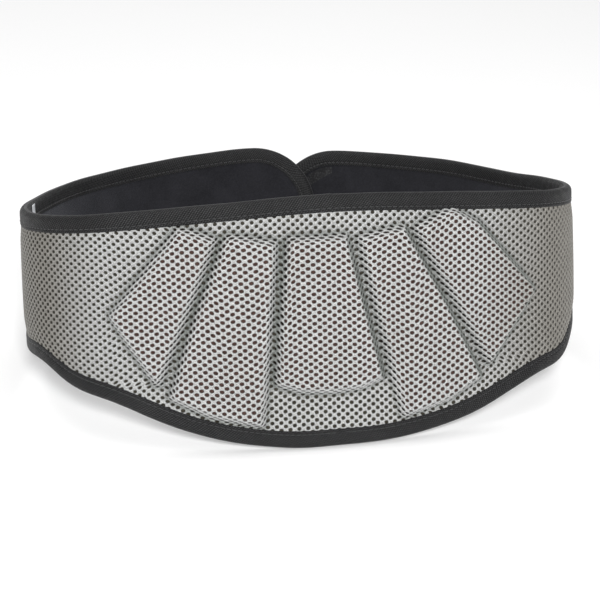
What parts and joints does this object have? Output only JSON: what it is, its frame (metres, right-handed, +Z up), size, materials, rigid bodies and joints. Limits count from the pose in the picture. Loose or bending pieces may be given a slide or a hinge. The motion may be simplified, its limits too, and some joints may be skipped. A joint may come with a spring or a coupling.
{
  "type": "lumbar support belt",
  "caption": "Contoured lumbar support belt: mesh-faced back panel with a fan of raised foam pads, bound edges, and padded wings that wrap round and overlap at their rounded ends.",
  "frame": {"origin": "on the floor, midway between the belt's left and right sides and between its front and back", "axes": "+Z up from the floor the belt stands on, -Y out of the lumbar panel's padded face, +X to the right seen from in front of that face"},
  "size_m": [0.3512, 0.302, 0.1473],
  "materials": {
    "spacer_mesh": "light grey 3-D spacer mesh, open holes",
    "foam": "dark closed-cell foam, hidden between the fabrics",
    "lining": "near-black brushed lining",
    "binding": "charcoal twill binding tape, stitched",
    "loop_tape": "black loop tape",
    "hook_tape": "black hook tape",
    "label": "blank white woven label"
  },
  "bodies": {
    "lumbar_panel": {"lumbar_binding_bottom": "binding", "lumbar_binding_top": "binding", "lumbar_core": "foam", "lumbar_cover": "spacer_mesh", "lumbar_lining": "lining", "pad_centre": "spacer_mesh", "pad_inner_left": "spacer_mesh", "pad_inner_right": "spacer_mesh", "pad_outer_left": "spacer_mesh", "pad_outer_right": "spacer_mesh"},
    "left_wing": {"care_label": "label", "left_wing_binding": "binding", "left_wing_core": "foam", "left_wing_cover": "spacer_mesh", "left_wing_lining": "lining", "loop_patch": "loop_tape"},
    "right_wing": {"hook_patch": "hook_tape", "right_wing_binding": "binding", "right_wing_core": "foam", "right_wing_cover": "spacer_mesh", "right_wing_lining": "lining"}
  },
  "joints": [
    {"name": "right_wing_fold", "type": "hinge", "parent": "lumbar_panel", "child": "right_wing", "pos_m": [0.1762, -0.03822, 0.08], "axis": [0, 0, -1], "range_deg": [0, 70]},
    {"name": "left_wing_fold", "type": "hinge", "parent": "lumbar_panel", "child": "left_wing", "pos_m": [-0.1762, -0.03822, 0.08], "axis": [0, 0, 1], "range_deg": [0, 35]}
  ],
  "couplings": [
    {"joint": "left_wing_fold", "follows": "right_wing_fold", "ratio": 0.5}
  ]
}
